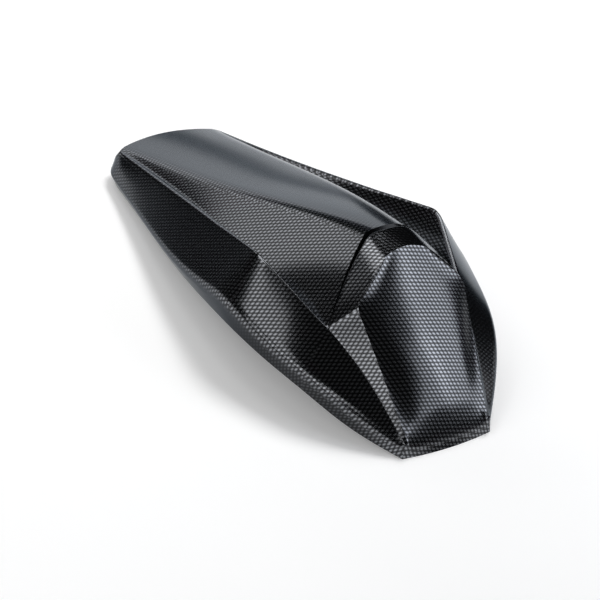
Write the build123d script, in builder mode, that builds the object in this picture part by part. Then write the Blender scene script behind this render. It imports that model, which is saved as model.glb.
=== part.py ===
from build123d import *
import os

# Seat cowl: one moulded shell, open below, the same on both sides of the middle plane.
# Every reach is measured back from the front corners, every height up from the ground.
wall = 3.0

# Front edge: corner, bow in plan, and the low strip that stands on it
front_half_width = 46.5
front_bow = 3.0
strip_height = 9.0
strip_lean = 1.6
tip_rise = 2.5
tip_width = 3.0

# Wing: peak, ridge back to the tail, crest forward over the junction to the tip
peak_half_width = 92.0
peak_reach = 166.5
peak_height = 96.5
ridge_bow = 3.0
ridge_flat = 2.0
junction_half_width = 72.5
junction_reach = 92.5
junction_height = 71.5
crest_bow = 6.0

# Lower crease, the widest line: foot below the peak, flare at the front, run to the tail
foot_half_width = 120.0
foot_reach = 153.5
foot_height = 59.0
flare_half_width = 101.0
flare_reach = 77.0
flare_height = 45.0
foot_bow = 3.0
flare_bow = 5.7
rear_bow = 7.3
low_flat = 2.0

# Skirt below the lower crease, tucked in at its rim and arched over the ground
skirt_height = 18.0
foot_skirt_height = 21.0
skirt_tuck = 3.5

# Tail: side corners, rounded end and its lean
tail_half_width = 54.5
tail_side_reach = 414.5
tail_height = 27.5
tail_crease_height = 12.0
tail_flare = 3.0
tail_reach = 437.0
tail_round = 5.7
tail_crown = 3.0
tail_lean = 9.5

# Hump: flat top between two creases, rounded flanks, channels beside the wings
hump_half_width = 18.0
hump_reach = 133.0
hump_height = 125.5
hump_mid_half_width = 43.0
hump_mid_reach = 302.0
hump_mid_height = 69.3
hump_bow = 2.0
top_crown = 2.0
crease_flat = 1.5
flank_bulge = 3.0
channel_half_width = 71.5
channel_height = 70.0
channel_mid_half_width = 62.0
channel_mid_height = 52.0

# Front frame round the panel, parted from the hump by a groove
frame_reach = 128.0
frame_height = 127.0
frame_bow = 8.0
groove_depth = 2.5
panel_top_half_width = 16.0
panel_top_reach = 105.0
panel_top_height = 126.0
panel_half_width = 55.5
panel_reach = 83.5
panel_height = 93.5
panel_crown = 8.0

middle = (tail_reach - front_bow) / 2


def spot(half_width, reach, height):
    return Vector(half_width, reach - middle, height)


def between(start, end, share, out=0.0, back=0.0, up=0.0):
    return start + (end - start) * share + Vector(out, back, up)


def opposite(point):
    return Vector(-point.X, point.Y, point.Z)


# Wing peak, junction and tip, and the middles of the ridge and the crest
outer = {"peak": spot(peak_half_width, peak_reach, peak_height)}
outer["junction"] = spot(junction_half_width, junction_reach, junction_height)
outer["tail_corner"] = spot(tail_half_width, tail_side_reach, tail_height)
outer["low_corner"] = spot(front_half_width - 0.8 * strip_lean, strip_lean, strip_height)
outer["tip"] = outer["low_corner"] + Vector(-0.28 * tip_rise, 0.28 * tip_rise, tip_rise)
outer["ridge_mid"] = between(outer["peak"], outer["tail_corner"], 0.5, up=ridge_bow)
outer["crest_mid"] = between(outer["junction"], outer["tip"], 0.5, up=crest_bow)

# Lower crease from the front corner round the foot to the back of the tail
outer["low_nose"] = spot(0, strip_lean - front_bow, strip_height)
outer["low_flare"] = spot(flare_half_width, flare_reach, flare_height)
outer["low_front"] = between(outer["low_flare"], outer["low_corner"], 0.5, out=flare_bow, up=flare_bow / 2)
outer["low_foot"] = spot(foot_half_width, foot_reach, foot_height)
outer["low_side"] = between(outer["low_foot"], outer["low_flare"], 0.5, out=foot_bow)
outer["low_end"] = spot(tail_half_width + tail_flare, tail_side_reach, tail_crease_height)
outer["low_rear"] = between(outer["low_foot"], outer["low_end"], 0.36, out=rear_bow)
outer["low_aft"] = between(outer["low_foot"], outer["low_end"], 0.75, out=rear_bow / 4)
outer["low_back"] = spot(0, tail_reach, tail_crease_height)
outer["low_tail"] = between(outer["low_end"], outer["low_back"], 0.18, back=tail_round)

# Rim under the lower crease, on the ground at the front edge and at the tail
for name in ("flare", "front", "side", "rear", "aft"):
    outer["rim_" + name] = outer["low_" + name] + Vector(-skirt_tuck, 0, -skirt_height)
outer["rim_foot"] = outer["low_foot"] + Vector(-skirt_tuck, 0, -foot_skirt_height)
outer["rim_corner"] = spot(front_half_width, 0, 0)
outer["rim_nose"] = spot(0, -front_bow, 0)
outer["rim_end"] = outer["low_end"] + Vector(-0.7 * skirt_tuck, -0.7 * skirt_tuck, -tail_crease_height)
outer["rim_tail"] = outer["low_tail"] + Vector(-0.6 * skirt_tuck, -0.8 * skirt_tuck, -tail_crease_height)
outer["rim_back"] = outer["low_back"] + Vector(0, -skirt_tuck, -tail_crease_height)

# Hump: middle line, creases, flanks and the channels between flank and wing
at_peak = (peak_reach - hump_reach) / (hump_mid_reach - hump_reach)
outer["crease_front"] = spot(hump_half_width, hump_reach, hump_height)
outer["crease_mid"] = spot(hump_mid_half_width, hump_mid_reach, hump_mid_height)
crease_bow = Vector(hump_bow / 2, 0, hump_bow)
outer["crease_peak"] = between(outer["crease_front"], outer["crease_mid"], at_peak) + crease_bow
outer["top_tail"] = spot(0, tail_reach - tail_lean, tail_height + tail_crown)
tail_bow = Vector(0, tail_round / 2, tail_crown / 3)
outer["crease_tail"] = between(outer["tail_corner"], outer["top_tail"], 0.14) + tail_bow
outer["channel_tail"] = between(outer["tail_corner"], outer["crease_tail"], 0.5, up=-tail_crown / 3)
outer["top_front"] = spot(0, hump_reach, hump_height + top_crown)
outer["top_peak"] = spot(0, peak_reach, outer["crease_peak"].Z + top_crown)
outer["top_mid"] = spot(0, hump_mid_reach, hump_mid_height + 1.5 * top_crown)
outer["channel_peak"] = spot(channel_half_width, peak_reach, channel_height)
outer["channel_mid"] = spot(channel_mid_half_width, hump_mid_reach, channel_mid_height)
outer["flank_front"] = between(outer["crease_front"], outer["junction"], 0.5, frame_bow / 3, 0, frame_bow)
peak_bulge = Vector(flank_bulge, 0, flank_bulge)
outer["flank_peak"] = between(outer["crease_peak"], outer["channel_peak"], 0.5) + peak_bulge
outer["flank_mid"] = between(outer["crease_mid"], outer["channel_mid"], 0.5) + peak_bulge / 3
outer["flank_tail"] = between(outer["crease_tail"], outer["channel_tail"], 0.5)

# Front frame and the corners of the panel
outer["frame_corner"] = spot(hump_half_width, frame_reach, frame_height)
outer["frame_top"] = spot(0, frame_reach, frame_height + top_crown / 2)
outer["frame_side"] = between(outer["frame_corner"], outer["junction"], 0.5, frame_bow / 3, 0, frame_bow)
outer["panel_top"] = spot(panel_top_half_width, panel_top_reach, panel_top_height)
outer["panel_wide"] = spot(panel_half_width, panel_reach, panel_height)
outer["panel_tip"] = outer["tip"] + Vector(-tip_width, 0, tip_width / 5)


def grooved(p):
    # Bottom of the groove, midway between the hump and the frame
    p["groove_corner"] = between(p["crease_front"], p["frame_corner"], 0.5, up=-groove_depth)
    p["groove_top"] = between(p["top_front"], p["frame_top"], 0.5, up=-groove_depth)
    sink = -groove_depth / 2
    p["groove_side"] = between(p["flank_front"], p["frame_side"], 0.5, out=sink, up=sink)
    return p


def curve(*points):
    with BuildLine() as line:
        if len(points) == 2:
            Line(*points)
        else:
            Spline(*points)
    return line.edge()


def parted(line, *points):
    marks = [0.0] + [line.param_at_point(point) for point in points] + [1.0]
    return [line.trim(marks[i], marks[i + 1]) for i in range(len(marks) - 1)]


def ruled(first, second):
    return Face.make_surface_from_curves(first, second)


def triangle(*corners):
    with BuildLine() as line:
        Polyline(*corners, close=True)
    return Face(line.wire())


def level(first, second):
    # Flat face on the ground between two edges
    with BuildSketch() as sketch:
        with BuildLine():
            add(first)
            add(second)
            Line(first @ 0, second @ 0)
            Line(first @ 1, second @ 1)
        make_face()
    return sketch.face()


def lofted(*lines):
    return list(Shell.make_loft([Wire(line) for line in lines]).faces())


def border(faces, start, end):
    edges = ShapeList(edge for face in faces for edge in face.edges())
    along = edges.filter_by(lambda edge: (edge @ 0 - start).length + (edge @ 1 - end).length < 0.01)
    against = edges.filter_by(lambda edge: (edge @ 1 - start).length + (edge @ 0 - end).length < 0.01)
    return along[0] if along else against[0].reversed()


def panel_line(p, share):
    # Line down the panel at a share of its half width, crowned towards the middle
    rise = Vector(0, -0.77, 0.64) * (1 - share * share)
    crowns = {"panel_top": top_crown / 2, "panel_wide": panel_crown, "panel_tip": front_bow}
    spots = []
    for name, crown in crowns.items():
        spots.append(Vector(p[name].X * share, p[name].Y, p[name].Z) + rise * crown)
    if abs(share) == 1:
        return [curve(spots[0], spots[1]), curve(spots[1], spots[2])]
    low = between(p["panel_wide"], p["panel_tip"], 0.5)
    low = Vector(low.X * share, low.Y, low.Z) + rise * panel_crown * 1.1
    return parted(curve(spots[0], spots[1], low, spots[2]), spots[1])


def skin(p):
    # Wing lines: peak to tail, and peak over the junction to the tip
    ridge = curve(p["peak"], p["ridge_mid"], p["tail_corner"])
    crest, brow = parted(curve(p["peak"], p["junction"], p["crest_mid"], p["tip"]), p["junction"])

    # Lower crease and rim: rear run, side and front, nose, and the rounded tail
    low = {}
    rim = {}
    for name, line in (("low_", low), ("rim_", rim)):
        at = {key[4:]: point for key, point in p.items() if key.startswith(name)}
        line["rear"] = curve(at["foot"], at["rear"], at["aft"], at["end"])
        front = curve(at["foot"], at["side"], at["flare"], at["front"], at["corner"])
        line["side"], line["front"] = parted(front, at["flare"])
        line["nose"] = curve(at["corner"], at["nose"], opposite(at["corner"]))
        line["end"] = curve(at["end"], at["tail"])
        line["tail"] = curve(at["tail"], at["back"], opposite(at["tail"]))

    # Hump: crowned top between the creases, rounded flank down to the channel
    crease = curve(p["crease_front"], p["crease_peak"], p["crease_mid"], p["crease_tail"])
    top_line = curve(p["top_front"], p["top_peak"], p["top_mid"], p["top_tail"])
    flank_line = curve(p["flank_front"], p["flank_peak"], p["flank_mid"], p["flank_tail"])
    channel = curve(p["junction"], p["channel_peak"], p["channel_mid"], p["channel_tail"])
    channel_front, channel_rear = parted(channel, p["channel_peak"])
    top = lofted([crease], [top_line], [crease.mirror(Plane.YZ)])
    flank = lofted([crease], [flank_line], [channel])

    # Groove and frame in front of the hump, and the crowned panel
    hump_side = border(flank, p["crease_front"], p["junction"])
    hump_front = border(top, p["crease_front"], opposite(p["crease_front"]))
    groove_side = curve(p["groove_corner"], p["groove_side"], p["junction"])
    groove_top = curve(p["groove_corner"], p["groove_top"], opposite(p["groove_corner"]))
    frame_side = curve(p["frame_corner"], p["frame_side"], p["junction"])
    frame_top = curve(p["frame_corner"], p["frame_top"], opposite(p["frame_corner"]))
    panel = lofted(*(panel_line(p, share) for share in (1, 0.6, 0, -0.6, -1)))
    panel_upper, panel_lower = panel_line(p, 1)
    panel_head = border(panel, p["panel_top"], opposite(p["panel_top"]))
    panel_foot = border(panel, p["panel_tip"], opposite(p["panel_tip"]))

    # Faces of one side, mirrored, and those that cross the middle
    side = ShapeList(flank)
    side += [ruled(channel_front, crest.reversed()), ruled(channel_rear, ridge)]
    side += [ruled(ridge, low["rear"]), ruled(crest, low["side"]), ruled(brow, low["front"])]
    side += [ruled(low[name], rim[name]) for name in ("rear", "side", "front", "end")]
    side += [ruled(hump_side, groove_side), ruled(groove_side, frame_side)]
    side += [ruled(frame_side, panel_upper), ruled(brow, panel_lower)]
    side += [ruled(border(flank, p["channel_tail"], p["crease_tail"]), low["end"])]
    side += [triangle(p["tail_corner"], p["channel_tail"], p["low_end"])]
    side += [triangle(p["tip"], p["panel_tip"], p["low_corner"])]
    cross = ShapeList(top + panel)
    cross += [ruled(hump_front, groove_top), ruled(groove_top, frame_top), ruled(frame_top, panel_head)]
    cross += [ruled(panel_foot, low["nose"]), ruled(low["nose"], rim["nose"])]
    cross += [ruled(border(top, p["crease_tail"], opposite(p["crease_tail"])), low["tail"])]
    cross += [ruled(low["tail"], rim["tail"])]
    return side + [face.mirror(Plane.YZ) for face in side] + cross, rim


def inward(point, faces, turn_out):
    # Step that moves every face round a point in by the wall
    near = faces.filter_by(lambda face: face.distance_to(point) < 0.01)
    normals = [face.normal_at(between(point, face.center(), 0.05)) * turn_out for face in near]
    step = Vector()
    for turn in range(60):
        for normal in normals:
            step -= normal * (normal.dot(step) + wall) / len(normals)
    return step


def nearest(shape, *spots):
    # Edges of the part at these spots, on both sides
    found = [shape.edges().sort_by_distance(point)[0] for point in spots]
    found += [shape.edges().sort_by_distance(opposite(point))[0] for point in spots]
    return ShapeList(found)


# Outer skin, its faces turned to look outwards
outer_faces, outer_rim = skin(grooved(outer))
broad = Shell(outer_faces).faces().filter_by(lambda face: face.area > 300)
crown = broad.filter_by(lambda face: face.distance_to(outer["top_mid"]) < 0.01)[0]
turn_out = 1 if crown.normal_at(outer["top_mid"]).Z > 0 else -1

# Inner skin: every point of the outer one moved in, the rim level with the outer rim
inner = {}
for name, point in outer.items():
    if not name.startswith(("rim_", "groove_")):
        inner[name] = point + inward(point, broad, turn_out)
for name in ("tip", "panel_tip"):
    inner[name] = outer[name] + inner["low_corner"] - outer["low_corner"]
for name, point in outer.items():
    if name.startswith("rim_"):
        low = name.replace("rim_", "low_")
        step = inner[low] - outer[low]
        inner[name] = point + Vector(step.X, step.Y, 0).normalized() * wall
inner_faces, inner_rim = skin(grooved(inner))

# Narrow edge between the two skins all round the rim
rim_side = [ruled(outer_rim[name], inner_rim[name]) for name in ("rear", "side", "front")]
rim_side.append(level(outer_rim["end"], inner_rim["end"]))
rim_faces = rim_side + [face.mirror(Plane.YZ) for face in rim_side]
rim_faces += [level(outer_rim[name], inner_rim[name]) for name in ("nose", "tail")]

with BuildPart() as cowl:
    add(Solid(Shell(outer_faces + inner_faces + rim_faces)))
    chamfer(nearest(cowl, outer["ridge_mid"]), length=ridge_flat)
    chamfer(nearest(cowl, outer["crease_mid"]), length=crease_flat)
    chamfer(nearest(cowl, outer["low_rear"], outer["low_side"], outer["low_front"]), length=low_flat)
cowl.part.label = "cowl_shell"

os.makedirs("parts", exist_ok=True)
export_step(cowl.part, "parts/cowl_shell.step")
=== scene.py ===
# Seat cowl in a carbon-look finish: one moulded shell with rounded folds and a printed weave under a clear
# coat, standing on a pale studio floor.
import bmesh
import bpy
import math
import numpy as np
from mathutils import Matrix, Vector


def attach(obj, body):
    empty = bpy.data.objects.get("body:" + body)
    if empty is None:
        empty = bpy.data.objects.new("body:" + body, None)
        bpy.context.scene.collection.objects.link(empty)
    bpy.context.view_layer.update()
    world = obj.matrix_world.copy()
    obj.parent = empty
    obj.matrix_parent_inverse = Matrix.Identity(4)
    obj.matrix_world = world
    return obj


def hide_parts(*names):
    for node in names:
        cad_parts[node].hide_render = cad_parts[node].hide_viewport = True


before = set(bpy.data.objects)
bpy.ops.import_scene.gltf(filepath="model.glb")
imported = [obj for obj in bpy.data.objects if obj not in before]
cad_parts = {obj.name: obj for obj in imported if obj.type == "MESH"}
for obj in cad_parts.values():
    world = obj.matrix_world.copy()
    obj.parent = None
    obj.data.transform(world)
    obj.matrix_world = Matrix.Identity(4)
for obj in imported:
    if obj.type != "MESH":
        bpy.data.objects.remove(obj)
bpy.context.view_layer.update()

# Cowl shell: one thin plastic moulding, open below, with a printed weave on it under a clear coat.
# It stands on its front edge and its tail, and its sides arch clear of the ground.
# Spots of the right half are in mm: half width, reach back from the front corners, height.
spots = {
    "peak": (94.3, 167.5, 99.3),
    "ridge_mid": (71.5, 292.3, 63.3),
    "tail_corner": (55.5, 417.0, 27.5),
    "junction": (70.8, 94.3, 69.8),
    "crest_mid": (57.1, 48.9, 46.1),
    "tip": (44.5, 2.3, 11.5),
    "low_foot": (122.5, 160.0, 60.5),
    "low_rear": (109.3, 247.5, 36.5),
    "low_aft": (82.0, 349.2, 18.5),
    "low_turn": (65.5, 414.5, 10.5),
    "low_end": (55.5, 421.6, 12.2),
    "low_tail": (47.1, 424.2, 12.0),
    "low_back": (0.0, 437.0, 12.0),
    "low_side": (113.5, 115.2, 52.0),
    "low_flare": (101.0, 77.0, 45.0),
    "low_front": (78.8, 39.3, 29.9),
    "low_corner": (45.2, 2.6, 9.0),
    "low_nose": (0.0, 1.2, 9.0),
    "rim_foot": (116.5, 153.5, 38.0),
    "rim_rear": (101.3, 247.5, 24.1),
    "rim_aft": (73.0, 349.2, 5.8),
    "rim_turn": (60.0, 411.5, 0.0),
    "rim_end": (52.5, 418.8, 0.0),
    "rim_tail": (45.0, 421.4, 0.0),
    "rim_back": (0.0, 433.5, 0.0),
    "rim_side": (110.0, 115.2, 34.0),
    "rim_flare": (97.5, 77.0, 27.0),
    "rim_front": (75.3, 39.3, 11.9),
    "rim_corner": (46.5, 0.0, 0.0),
    "rim_nose": (0.0, -3.3, 0.0),
    "crease_front": (18.0, 133.0, 125.5),
    "crease_peak": (24.0, 166.5, 116.4),
    "crease_mid": (43.0, 302.0, 69.3),
    "crease_tail": (46.9, 421.4, 28.9),
    "top_front": (0.0, 133.0, 127.5),
    "top_peak": (0.0, 166.5, 118.4),
    "top_mid": (0.0, 302.0, 72.3),
    "top_tail": (0.0, 427.5, 30.5),
    "channel_peak": (75.0, 166.5, 69.0),
    "channel_mid": (62.0, 302.0, 52.0),
    "channel_tail": (52.6, 419.0, 27.9),
    "flank_front": (45.6, 115.2, 104.2),
    "flank_peak": (49.2, 166.5, 94.7),
    "flank_mid": (52.7, 302.0, 60.9),
    "flank_tail": (49.8, 420.3, 28.5),
    "groove_corner": (18.0, 130.5, 123.8),
    "groove_side": (44.4, 113.9, 103.3),
    "groove_top": (0.0, 130.5, 125.2),
    "frame_corner": (18.0, 128.0, 127.0),
    "frame_side": (45.6, 112.6, 104.9),
    "frame_top": (0.0, 128.0, 128.0),
    "panel_top": (16.0, 105.0, 126.0),
    "panel_wide": (55.5, 83.5, 93.5),
    "panel_tip": (42.1, 2.6, 13.0),
}
spots = {name: np.array(place) for name, place in spots.items()}

# Reach of the frame's origin, and the thickness of the wall
middle = 217.0
wall = 3.0

# Steps along the shell: tail to wing peak, peak to junction, junction to front tip, hump corner to junction
rear_steps = 110
wing_steps = 34
brow_steps = 48
frame_steps = 36

# Steps across it
top_steps = 14
fold_steps = 8
half_steps = top_steps + fold_steps
small_fold_steps = 6
face_steps = 16
inner_steps = 14
band_steps = 10
skirt_steps = 6
edge_steps = 4

# Half widths of the rounded folds
ridge_round = 5.0
crest_rounds = (2.8, 1.8)
inner_round = 4.0
low_round = 7.0
crease_round = 7.0
channel_round = 3.0
frame_round = 0.8
panel_round = 1.0
nose_round = 20.0


def spline(names, steps):
    # Smooth line through the named spots, with so many steps between each spot and the next
    knots = np.array([spots[name] for name in names])
    gaps = np.linalg.norm(np.diff(knots, axis=0), axis=1)
    count = len(knots)
    rows = np.eye(count)
    sums = np.zeros((count, 3))
    for i in range(1, count - 1):
        rows[i, i - 1:i + 2] = gaps[i - 1], 2 * (gaps[i - 1] + gaps[i]), gaps[i]
        sums[i] = 6 * ((knots[i + 1] - knots[i]) / gaps[i] - (knots[i] - knots[i - 1]) / gaps[i - 1])
    bend = np.linalg.solve(rows, sums)
    line = [knots[:1]]
    for i, many in enumerate(steps):
        t = np.linspace(0, 1, many + 1)[1:, None]
        cubic = ((1 - t) ** 3 - (1 - t)) * bend[i] + (t ** 3 - t) * bend[i + 1]
        line.append((1 - t) * knots[i] + t * knots[i + 1] + cubic * gaps[i] ** 2 / 6)
    return np.concatenate(line)


def even(line, steps):
    # The same line with evenly spaced points
    run = np.concatenate([[0], np.cumsum(np.linalg.norm(np.diff(line, axis=0), axis=1))])
    return np.stack([np.interp(np.linspace(0, run[-1], steps + 1), run, line[:, k]) for k in range(3)], 1)


def chain(*lines):
    # Lines joined end to end
    return np.concatenate([lines[0]] + [line[1:] for line in lines[1:]])


def cut(line, at):
    # The two parts of a line, up to one of its points and on from there
    return line[:at + 1], line[at:]


def soften(line, at, reach):
    # Rounds the corner of a line at one of its points, over so many steps either way
    line = line.copy()
    t = np.linspace(0, 1, 2 * reach + 1)[:, None]
    first, corner, last = line[at - reach], line[at].copy(), line[at + reach]
    line[at - reach:at + reach + 1] = (1 - t) ** 2 * first + 2 * t * (1 - t) * corner + t ** 2 * last
    return line


def inset(line, towards, width):
    # The line moved by a width towards another one, but never half way
    away = towards - line
    length = np.maximum(np.linalg.norm(away, axis=1), 1e-6)
    return line + away * (np.minimum(width, 0.45 * length) / length)[:, None]


def fade(count, start, end):
    # Full in the middle, down to nothing over so many steps at either end
    i = np.arange(count)
    head = np.clip(i / start, 0, 1) if start else np.ones(count)
    foot = np.clip((count - 1 - i) / end, 0, 1) if end else np.ones(count)
    return np.sqrt(np.minimum(head, foot))


patches = []


def patch(grid, group):
    # Keeps a grid of points, in the group of faces that its weave is laid with
    patches.append((np.asarray(grid), group))
    return patches[-1][0]


def sheet(first, second, steps, group):
    # Straight rulings from one line to another
    t = np.linspace(0, 1, steps + 1)[None, :, None]
    return patch(first[:, None] * (1 - t) + second[:, None] * t, group)


def fold(first, corner, second, group, steps=fold_steps):
    # Rounded fold over a line, from the edge of one sheet to the edge of the next
    t = np.linspace(0, 1, steps + 1)[None, :, None]
    bow = (1 - t) ** 2 * first[:, None] + 2 * t * (1 - t) * corner[:, None] + t ** 2 * second[:, None]
    return patch(bow, group)


# Long lines from the tail forward, rounded where they turn at the wing's peak and foot.
# The fine steps between their spots are evened out afterwards.
peak_soft = 4
foot_soft = 9
rim_soft = 7
end_steps = 12
turn_soft = 9
over_fine = (60, 40, 40)
tail_fine = (50, 50, 50)
side_fine = (40, 40, 40, 40)
hump_fine = (60, 60, 40)
ridge = spline(("tail_corner", "ridge_mid", "peak"), (rear_steps // 2, rear_steps // 2))
crest, brow = cut(spline(("peak", "junction", "crest_mid", "tip"), over_fine), over_fine[0])
upper = chain(even(ridge, rear_steps), even(crest, wing_steps))
upper = soften(upper, rear_steps, peak_soft)
brow = even(brow, brow_steps)


def from_tail(kind):
    # Line from the rounded tail corner to the wing foot
    end, turn = spots[kind + "_end"], spots[kind + "_turn"]
    line = spline((kind + "_turn", kind + "_aft", kind + "_rear", kind + "_foot"), tail_fine)
    line = chain(even(np.stack([end, turn]), end_steps), line)
    return even(soften(line, end_steps, turn_soft), rear_steps)


def round_side(kind, soft):
    # Line from the tail round the wing foot to below the junction, and on from there to the front corner
    names = [kind + end for end in ("_foot", "_side", "_flare", "_front", "_corner")]
    wing_part, brow_part = cut(spline(names, side_fine), sum(side_fine[:2]))
    line = chain(from_tail(kind), even(wing_part, wing_steps))
    return soften(line, rear_steps, soft), even(brow_part, brow_steps)


lower, low_brow = round_side("low", foot_soft)
rim, rim_brow = round_side("rim", rim_soft)


def lengthwise(kind, front):
    # Line along the hump, with the same steps as the wing beside it
    line = spline((kind + "_tail", kind + "_mid", kind + "_peak", front), hump_fine)
    rear_part, wing_part = cut(line, sum(hump_fine[:2]))
    return chain(even(rear_part, rear_steps), even(wing_part, wing_steps))


crease = lengthwise("crease", "crease_front")
top = lengthwise("top", "top_front")
flank = lengthwise("flank", "flank_front")
channel = lengthwise("channel", "junction")
whole = len(upper)

# Hump: crowned top, rounded crease, bulged flank
most_fold = 0.4
crease_width = crease_round * fade(whole, start=14, end=0)
channel_width = channel_round * fade(whole, start=50, end=30)
share = 1 - crease_width / np.linalg.norm(crease - top, axis=1)
grid = []
for u in np.linspace(0, 1, top_steps + 1):
    v = (u * share)[:, None]
    grid.append(np.concatenate([crease[:, :1] * v, top[:, 1:] + (crease - top)[:, 1:] * v * v], 1))
top_grid = patch(np.stack(grid, 1), "top")
span = np.linalg.norm(channel - crease, axis=1)
start = np.minimum(crease_width / span, most_fold)
finish = 1 - np.minimum(channel_width / span, most_fold)
flank_rows = []
for u in np.linspace(0, 1, frame_steps + 1):
    t = (start + (finish - start) * u)[:, None]
    flank_rows.append(crease * (1 - t) * (1 - 2 * t) + 4 * flank * t * (1 - t) + channel * t * (2 * t - 1))
flank_grid = patch(np.stack(flank_rows, 1), "flank")
crease_grid = fold(top_grid[:, -1], crease, flank_rows[0], "top")

# Wing: inner face up from the channel, ridge and crest, outer face, lower crease and skirt
narrow_steps = 30
narrow_to = 0.4
tail_bulge = 1.2
bulge_steps = 45
outward = np.array((0.75, 0.55, 0.37))
ridge_width = ridge_round * fade(whole, start=16, end=24)
ridge_width[rear_steps:] = np.minimum(ridge_width[rear_steps:], np.linspace(*crest_rounds, wing_steps + 1))
ridge_width[rear_steps - narrow_steps:rear_steps] *= np.linspace(1, narrow_to, narrow_steps)
inner_width = np.maximum(ridge_width, inner_round * fade(whole, start=rear_steps, end=10))
channel_edge = inset(channel, upper, channel_width)
inner_edge = inset(upper, channel, inner_width)
outer_edge = inset(upper, lower, ridge_width)
fold(flank_rows[-1], channel, channel_edge, "flank")
rear, wing = slice(0, rear_steps + 1), slice(rear_steps, None)
for part, inner, edge in ((rear, "inner_rear", "side_rear"), (wing, "inner_wing", "crest")):
    sheet(channel_edge[part], inner_edge[part], inner_steps, inner)
    fold(inner_edge[part], upper[part], outer_edge[part], edge)

# The lower fold is narrower towards the tail, and the side bulges a little there
low_share = np.clip(np.linspace(0.2, 1.2, whole), 0.5, 1)
low_width = low_round * fade(whole, start=40, end=0) * low_share
low_edge = inset(lower, upper, low_width)
skirt_edge = inset(lower, rim, low_width)
bulge = tail_bulge * np.clip(1 - np.arange(whole) / bulge_steps, 0, 1)[:, None, None] ** 2
t = np.linspace(0, 1, face_steps + 1)[None, :, None]
for part, side, skirt in ((rear, "side_rear", "skirt_rear"), (wing, "side_wing", "skirt_wing")):
    flat = outer_edge[part][:, None] * (1 - t) + low_edge[part][:, None] * t
    patch(flat + bulge[part] * 4 * t * (1 - t) * outward, side)
    fold(low_edge[part], lower[part], skirt_edge[part], side)
    sheet(skirt_edge[part], rim[part], skirt_steps, skirt)

# Brow from the junction to the front tip, and its skirt
brow_width = panel_round * fade(brow_steps + 1, start=16, end=14)
brow_out = inset(brow, low_brow, brow_width)
low_width = low_round * fade(brow_steps + 1, start=0, end=24)
low_edge = inset(low_brow, brow, low_width)
skirt_edge = inset(low_brow, rim_brow, low_width)
sheet(brow_out, low_edge, face_steps, "side_brow")
fold(low_edge, low_brow, skirt_edge, "side_brow")
sheet(skirt_edge, rim_brow, skirt_steps, "skirt_brow")

# Groove and frame in front of the hump, from the middle plane round the corner to the junction
corner_soft = 5
front_fine = 60
head_fine = 40
hump_edge = np.concatenate([top_grid[-1], crease_grid[-1][1:], flank_grid[-1][1:]])
turn_at = top_steps + fold_steps // 2


def shares(line):
    # How far along the line each of its points is, from nothing to one
    run = np.concatenate([[0], np.cumsum(np.linalg.norm(np.diff(line, axis=0), axis=1))])
    return run / run[-1]


def along(line, where):
    # Points of the line at these shares of its length
    mine = shares(line)
    return np.stack([np.interp(where, mine, line[:, k]) for k in range(3)], 1)


def crossing(side, mid, where):
    # Curve from the middle plane out to a corner
    line = spots[mid] + (spots[side] - spots[mid]) * where[:, None] ** 2
    line[:, 0] = spots[side][0] * where
    return line


def round_front(kind):
    # Line parallel to the hump's front edge, with its corner rounded
    t = np.linspace(0, 1, front_fine + 1)[:, None]
    first, mid, last = spots[kind + "_corner"], spots[kind + "_side"], spots["junction"]
    side = first * (1 - t) * (1 - 2 * t) + 4 * mid * t * (1 - t) + last * t * (2 * t - 1)
    head = crossing(kind + "_corner", kind + "_top", np.linspace(0, 1, head_fine + 1))
    head = along(head, shares(hump_edge[:turn_at + 1]))
    return soften(chain(head, along(side, shares(hump_edge[turn_at:]))), turn_at, corner_soft)


groove_edge = round_front("groove")
frame_edge = round_front("frame")
front_steps = half_steps + frame_steps
frame_width = frame_round * fade(front_steps + 1, start=0, end=12)
frame_back = inset(frame_edge, groove_edge, frame_width)
sheet(hump_edge, groove_edge, edge_steps, "groove")
sheet(groove_edge, frame_back, edge_steps, "groove")

# Panel: crowned rows from the middle plane to its edge, with an arched head
crowns = {"panel_top": 1.0, "panel_wide": 8.0, "panel_tip": 0.8}
belly = 8.8
crown_way = np.array((0, -0.77, 0.64))
panel_bow = np.array((1.7, -1.8, 1.7))
panel_arch = 13.0
arch_power = 2.4
plain_from = 0.6
wide_soft = 3
nose_power = 6
panel_fine = 60
row_at = np.sin(np.linspace(0, 1, half_steps + 1) * math.pi / 2)
nose_width = nose_round * (1 - row_at ** nose_power)
bow = np.sin(np.linspace(0, math.pi, panel_fine + 1))[:, None] * panel_bow
rows = []
feet = []
for u, trim in zip(row_at, nose_width):
    rise = crown_way * (1 - u * u)
    for name, crown in crowns.items():
        spots["at_" + name] = spots[name] * (u, 1, 1) + rise * crown
    half_way = (spots["panel_wide"] + spots["panel_tip"]) / 2
    spots["at_low"] = half_way * (u, 1, 1) + rise * belly
    smooth = spline(("at_panel_top", "at_panel_wide", "at_low", "at_panel_tip"), [panel_fine] * 3)
    plain = np.stack([spots["at_panel_top"], spots["at_panel_wide"], spots["at_panel_tip"]])
    plain = chain(even(plain[:2], panel_fine) + bow, even(plain[1:], 2 * panel_fine))
    mix = np.clip((u - plain_from) / (1 - plain_from), 0, 1) ** 2
    line = plain * mix + smooth * (1 - mix)
    upper_part, lower_part = cut(line, panel_fine)
    upper_run = np.linalg.norm(np.diff(upper_part, axis=0), axis=1).sum()
    lower_run = np.linalg.norm(np.diff(lower_part, axis=0), axis=1).sum()
    drop = panel_arch * (1 - (1 - u ** arch_power) ** (1 / arch_power)) / upper_run
    feet.append(lower_part[-1])
    row = chain(along(upper_part, np.linspace(drop, 1, frame_steps + 1)),
                along(lower_part, np.linspace(0, 1 - trim / lower_run, brow_steps + 1)))
    rows.append(soften(row, frame_steps, wide_soft))
panel_edge = chain(np.stack([row[0] for row in rows]), rows[-1])
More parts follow.
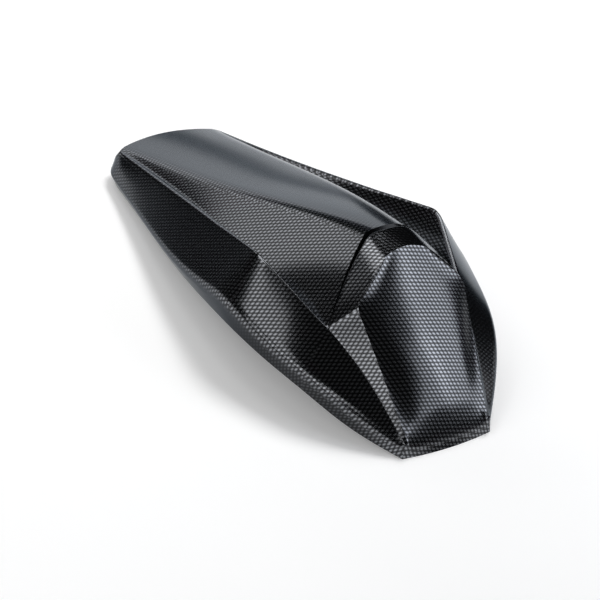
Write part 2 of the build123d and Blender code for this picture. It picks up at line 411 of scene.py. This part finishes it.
band_edge = chain(frame_edge, brow)
panel_width = panel_round * np.concatenate([np.zeros(half_steps), fade(len(rows[-1]), start=8, end=12)])
panel_out = inset(panel_edge, band_edge, panel_width)
panel_in = inset(rows[-1], rows[-2], panel_width[half_steps:])
fold(panel_out[half_steps:], rows[-1], panel_in, "panel", small_fold_steps)
patch(np.stack(rows[:-1] + [panel_in], 1), "panel")

# Bands between the panel and the frame, and between the panel and the brow
frame_fore = inset(frame_edge, panel_edge[:front_steps + 1], frame_width)
fold(frame_back, frame_edge, frame_fore, "groove", edge_steps)
band_split = turn_at - 2
bands = {"band_top": slice(0, band_split + 1), "band_upper": slice(band_split, front_steps + 1)}
for name, part in bands.items():
    sheet(frame_fore[part], panel_out[part], band_steps, name)
brow_in = inset(brow, panel_edge[front_steps:], brow_width)
fold(brow_in, brow, brow_out, "band_lower", small_fold_steps)
sheet(brow_in, panel_out[front_steps:], band_steps, "band_lower")

# Front strip, folded softly under the panel
strip_share = 0.7
low_nose = crossing("low_corner", "low_nose", row_at)
rim_nose = crossing("rim_corner", "rim_nose", row_at)
strip = inset(low_nose, rim_nose, nose_width * strip_share)
fold(np.stack([row[-1] for row in rows]), (np.stack(feet) + low_nose) / 2, strip, "panel")
sheet(strip, rim_nose, edge_steps, "nose")
patch(np.array([[spots["tip"], spots["panel_tip"]], [spots["low_corner"], spots["low_corner"]]]), "nose")

# Tail end: wing corner, flank and top down to the lower crease, then the rim
tail_top = np.concatenate([top_grid[0], crease_grid[0][1:]])
tail_flank = np.stack([row[0] for row in flank_rows])
u = np.linspace(0, 1, frame_steps + 1)[:, None]
low_end = spots["low_tail"] * (1 - u) + spots["low_end"] * u
rim_end = spots["rim_tail"] * (1 - u) + spots["rim_end"] * u
low_tail = crossing("low_tail", "low_back", shares(tail_top))
rim_tail = crossing("rim_tail", "rim_back", shares(tail_top))
sheet(tail_flank, low_end, face_steps, "tail")
sheet(tail_top, low_tail, face_steps, "tail")
sheet(low_tail, rim_tail, skirt_steps, "tail")
sheet(low_end, rim_end, skirt_steps, "tail")
u = np.linspace(0, 1, inner_steps + 1)[:, None, None]
t = np.linspace(0, 1, face_steps + 1)[None, :, None]
flat = (channel[0] * (1 - u) + upper[0] * u) * (1 - t) + lower[0] * t
patch(flat + tail_bulge * u * 4 * t * (1 - t) * outward, "tail")

# One mesh of both halves, with the weave laid flat on each group of faces in mm.
# Groups that cross the middle plane carry one weave over both halves, and the others mirror it.
# In the falling groups the dashes lean the other way. The groove takes a black spot of the weave,
# painted shade in it, and the crest a pale one, a painted highlight along it; so both stay plain.
weave_up = np.array((0.206, 0.568, 0.796))
seen_from = np.array((0.3, -0.2, 0.6))
across_middle = ("top", "panel", "band_top", "nose", "tail")
falling = ("panel", "band_top", "nose")
shade_and_highlight_spot = {"groove": (0.0, 0.0), "crest": (2.0, 1.9)}
verts = []
faces = []
weave = []
for group in dict.fromkeys(name for grid, name in patches):
    facing = np.zeros(3)
    for grid, name in patches:
        if name == group:
            one_way, other_way = grid[1:, 1:] - grid[:-1, :-1], grid[:-1, 1:] - grid[1:, :-1]
            facing += np.cross(one_way, other_way).reshape(-1, 3).sum(0)
    if facing @ seen_from < 0:
        facing = -facing
    centred = group in across_middle
    facing *= (0, 1, 1) if centred else (-1, 1, 1)
    facing /= np.linalg.norm(facing)
    u_way = np.cross(weave_up, facing)
    u_way /= np.linalg.norm(u_way)
    v_way = np.cross(facing, u_way)
    if group in falling:
        u_way = -u_way
    for grid, name in patches:
        if name != group:
            continue
        count, wide = grid.shape[:2]
        for turn in (1, -1):
            flat = grid.reshape(-1, 3) * (turn, 1, 1)
            laid = flat if centred else grid.reshape(-1, 3) * (-1, 1, 1)
            uv = np.stack([laid @ u_way, laid @ v_way], 1)
            # Painted shade in the groove and a painted highlight on the crest: one spot of the weave each
            if group in shade_and_highlight_spot:
                uv[:] = shade_and_highlight_spot[group]
            first = len(verts)
            verts.extend(((flat - (0, middle, 0)) / 1000).tolist())
            for i in range(count - 1):
                for k in range(wide - 1):
                    at = i * wide + k
                    quad = (at, at + 1, at + wide + 1, at + wide)
                    faces.append([first + q for q in quad])
                    weave.extend(uv[q] for q in quad)
mesh = bpy.data.meshes.new("cowl_shell_look")
mesh.from_pydata(verts, [], faces)
layer = mesh.uv_layers.new(name="weave_mm")
layer.data.foreach_set("uv", np.array(weave).astype(np.float32).ravel())
cowl = bpy.data.objects.new("cowl_shell_look", mesh)
bpy.context.scene.collection.objects.link(cowl)

# Seams closed and faces turned outwards, sizes here in metres
seam = 0.00002
sliver = 0.00001
work = bmesh.new()
work.from_mesh(mesh)
bmesh.ops.remove_doubles(work, verts=work.verts, dist=seam)
bmesh.ops.dissolve_degenerate(work, edges=work.edges, dist=sliver)
bmesh.ops.recalc_face_normals(work, faces=work.faces)
work.to_mesh(mesh)
work.free()

# Second skin inside, a wall away, with nothing below the ground and a hard edge at sharp angles
sharp_angle = math.radians(32)
shell = cowl.modifiers.new("wall", "SOLIDIFY")
shell.thickness = wall / 1000
shell.offset = -1
shell.use_rim = True
solid = bpy.data.meshes.new_from_object(cowl.evaluated_get(bpy.context.evaluated_depsgraph_get()))
cowl.modifiers.clear()
cowl.data = solid
for corner in solid.vertices:
    corner.co.z = max(corner.co.z, 0.0)
solid.shade_smooth()
solid.set_sharp_from_angle(angle=sharp_angle)

# Carbon look: pale slanted dashes of a printed weave on black, under a clear coat.
# Sizes of the print in mm: repeat along a row, row height, half length and half width of a dash.
repeat = 4.0
row_height = 3.1
dash_long = 2.25
dash_wide = 1.2
dash_slant = math.radians(24)
dash_blur = 0.8
black = (0.010, 0.0105, 0.012, 1)
dash_grey = (0.265, 0.275, 0.295, 1)
carbon = bpy.data.materials.new("carbon_look")
carbon.use_nodes = True
tree = carbon.node_tree
tree.nodes.clear()


def node(kind, **values):
    # New node in the tree of the material at hand
    made = tree.nodes.new(kind)
    for key, value in values.items():
        setattr(made, key, value)
    return made


def math_node(operation, first, second=None, clamp=False):
    # One step of arithmetic on sockets or plain numbers
    made = node("ShaderNodeMath", operation=operation, use_clamp=clamp)
    for socket, value in zip(made.inputs, (first, second)):
        if value is None:
            continue
        if isinstance(value, (int, float)):
            socket.default_value = value
        else:
            tree.links.new(value, socket)
    return made.outputs[0]


def turned(first, first_share, operation, second, second_share):
    # Shares of two lengths added or taken away, to turn them
    return math_node(operation, math_node("MULTIPLY", first, first_share),
                     math_node("MULTIPLY", second, second_share))


uv_node = node("ShaderNodeUVMap", uv_map="weave_mm")
part_uv = node("ShaderNodeSeparateXYZ")
tree.links.new(uv_node.outputs["UV"], part_uv.inputs[0])
u, v = part_uv.outputs[0], part_uv.outputs[1]
v_cell = math_node("DIVIDE", v, row_height)
row_shift = math_node("MULTIPLY", math_node("FLOOR", v_cell), repeat / 2)
u_cell = math_node("DIVIDE", math_node("SUBTRACT", u, row_shift), repeat)
x = math_node("MULTIPLY", math_node("SUBTRACT", math_node("FRACT", u_cell), 0.5), repeat)
y = math_node("MULTIPLY", math_node("SUBTRACT", math_node("FRACT", v_cell), 0.5), row_height)
along_dash = turned(x, math.cos(dash_slant), "ADD", y, math.sin(dash_slant))
over_dash = turned(y, math.cos(dash_slant), "SUBTRACT", x, math.sin(dash_slant))
oval = math_node("SQRT", math_node("ADD", math_node("POWER", math_node("DIVIDE", along_dash, dash_long), 2.0),
                                   math_node("POWER", math_node("DIVIDE", over_dash, dash_wide), 2.0)))
dash = math_node("DIVIDE", math_node("SUBTRACT", 1.0, oval), dash_blur, clamp=True)

# Painted glare: seen edge-on, the print is dimmed in the colour, as if the coat's reflection covered the
# weave
glare_start = 0.38
glare_span = 0.24
glare_full = 0.95
edge = node("ShaderNodeLayerWeight")
edge.inputs["Blend"].default_value = 0.5
painted_glare = math_node("DIVIDE", math_node("SUBTRACT", edge.outputs["Facing"], glare_start), glare_span, clamp=True)
print_with_painted_light = math_node("MULTIPLY", dash, math_node("SUBTRACT", 1.0, math_node("MULTIPLY", painted_glare, glare_full)))

# Painted shade: faces turned down towards the rim get less of the print, so they read darker there
under_start = 0.2
under_span = 0.25
least_print_in_shade = 0.25
way_up = node("ShaderNodeSeparateXYZ")
tree.links.new(node("ShaderNodeNewGeometry").outputs["Normal"], way_up.inputs[0])
under = math_node("DIVIDE", math_node("ADD", way_up.outputs[2], under_start), under_span, clamp=True)
print_after_shade = math_node("ADD", math_node("MULTIPLY", under, 1 - least_print_in_shade), least_print_in_shade)
print_with_painted_light = math_node("MULTIPLY", print_with_painted_light, print_after_shade)

shade = node("ShaderNodeBsdfPrincipled")
shade.inputs["Metallic"].default_value = 1.0
shade.inputs["Roughness"].default_value = 0.23
shade.inputs["Specular Tint"].default_value = (0.50, 0.545, 0.60, 1)
shade.inputs["Coat Weight"].default_value = 0.5
shade.inputs["Coat Roughness"].default_value = 0.15
shade.inputs["Coat IOR"].default_value = 1.5
colour = node("ShaderNodeMix", data_type="RGBA")
colour.inputs["A"].default_value = black
colour.inputs["B"].default_value = dash_grey
tree.links.new(print_with_painted_light, colour.inputs["Factor"])
tree.links.new(colour.outputs["Result"], shade.inputs["Base Color"])
out = node("ShaderNodeOutputMaterial")
tree.links.new(shade.outputs[0], out.inputs[0])

solid.materials.append(carbon)
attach(cowl, "root")
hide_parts("cowl_shell")

# Floor: a pale studio sheet with a faint cloud in its tone.
# It is lifted a little towards white where it is seen or mirrored, and keeps the cowl's shadow.
floor_reach = 6
floor_lift = 0.2
floor_mesh = bpy.data.meshes.new("studio_floor")
floor_corners = [(floor_reach * x, floor_reach * y, 0) for x, y in ((-1, -1), (1, -1), (1, 1), (-1, 1))]
floor_mesh.from_pydata(floor_corners, [], [(0, 1, 2, 3)])
floor = bpy.data.objects.new("studio_floor", floor_mesh)
bpy.context.scene.collection.objects.link(floor)
pale = bpy.data.materials.new("studio_floor")
pale.use_nodes = True
tree = pale.node_tree
shade = tree.nodes["Principled BSDF"]
shade.inputs["Roughness"].default_value = 0.9
shade.inputs["Specular IOR Level"].default_value = 0.0
place = node("ShaderNodeTexCoord")
cloud = node("ShaderNodeTexNoise")
cloud.inputs["Scale"].default_value = 3
tree.links.new(place.outputs["Object"], cloud.inputs["Vector"])
tone = node("ShaderNodeMix", data_type="RGBA")
tone.inputs["A"].default_value = (0.86, 0.86, 0.86, 1)
tone.inputs["B"].default_value = (0.89, 0.89, 0.89, 1)
tree.links.new(cloud.outputs["Fac"], tone.inputs["Factor"])
tree.links.new(tone.outputs["Result"], shade.inputs["Base Color"])
path = node("ShaderNodeLightPath")
seen = math_node("MAXIMUM", path.outputs["Is Camera Ray"], path.outputs["Is Glossy Ray"])
seen = math_node("MAXIMUM", seen, path.outputs["Is Transmission Ray"])
shade.inputs["Emission Color"].default_value = (1, 1, 1, 1)
tree.links.new(math_node("MULTIPLY", seen, floor_lift), shade.inputs["Emission Strength"])
floor_mesh.materials.append(pale)

# Light: soft boxes round the cowl in a dim room, each facing a spot just above the floor.
# The brightest one, box_top, throws the main shadow and is kept out of the gloss.
aim = Vector((0, 0, 0.06))
cool = (0.95, 0.985, 1.05)
world = bpy.data.worlds.new("room")
bpy.context.scene.world = world
world.use_nodes = True
room = world.node_tree.nodes["Background"]
room.inputs["Color"].default_value = (1, 1, 1, 1)
room.inputs["Strength"].default_value = 0.03


def softbox(name, azimuth, elevation, distance, size, radiance):
    # Lamp of a size in metres and a brightness of its face, in a direction given in degrees
    lamp = bpy.data.lights.new(name, "AREA")
    lamp.shape = "RECTANGLE"
    lamp.size, lamp.size_y = size
    lamp.energy = radiance * math.pi * size[0] * size[1]
    made = bpy.data.objects.new(name, lamp)
    bpy.context.scene.collection.objects.link(made)
    turn, lift = math.radians(azimuth), math.radians(elevation)
    way = Vector((math.cos(lift) * math.cos(turn), math.cos(lift) * math.sin(turn), math.sin(lift)))
    made.location = way * distance + aim
    made.rotation_euler = (-way).to_track_quat("-Z", "Y").to_euler()
    return made


softbox("box_top", 38, 62, 2.0, (0.8, 0.8), 10.6).visible_glossy = False
softbox("box_high", 20, 66, 1.6, (0.5, 0.5), 3.5)
softbox("box_front", -42, 25, 1.3, (0.6, 0.68), 2.1).data.color = cool
softbox("box_front_side", -59, 26, 1.3, (0.42, 0.5), 1.4).data.color = cool
softbox("box_left_front", -124, 29, 1.3, (0.42, 0.34), 1.4)
softbox("box_left", -158, 15, 1.3, (1.25, 0.46), 1.8)
softbox("box_left_high", 173, 45, 1.3, (0.82, 0.62), 1.5)
softbox("box_over", 116, 64, 1.3, (0.5, 0.5), 2.8)
softbox("box_back", 112, 32, 1.3, (0.75, 0.5), 1.4)
softbox("box_back_low", 70, 14, 1.3, (1.0, 0.5), 1.7)
softbox("box_right_low", -14, 6, 1.3, (0.25, 0.2), 0.8)

# Camera: long lens, rolled a little, as in the photograph
azimuth, elevation, roll = math.radians(-44.2), math.radians(34.7), math.radians(14.4)
eye = Vector((-1.2219, -1.2680, 1.2136))
level = Vector((math.cos(azimuth), math.sin(azimuth), 0))
back = Vector((math.sin(azimuth) * math.cos(elevation), -math.cos(azimuth) * math.cos(elevation),
               math.sin(elevation)))
rise = back.cross(level)
right = level * math.cos(roll) + rise * math.sin(roll)
up = rise * math.cos(roll) - level * math.sin(roll)
lens = bpy.data.cameras.new("camera")
lens.lens = 150
lens.sensor_width = 36
camera = bpy.data.objects.new("camera", lens)
bpy.context.scene.collection.objects.link(camera)
camera.matrix_world = Matrix.Translation(eye) @ Matrix((right, up, back)).transposed().to_4x4()
bpy.context.scene.camera = camera
bpy.context.scene.view_settings.view_transform = "Standard"
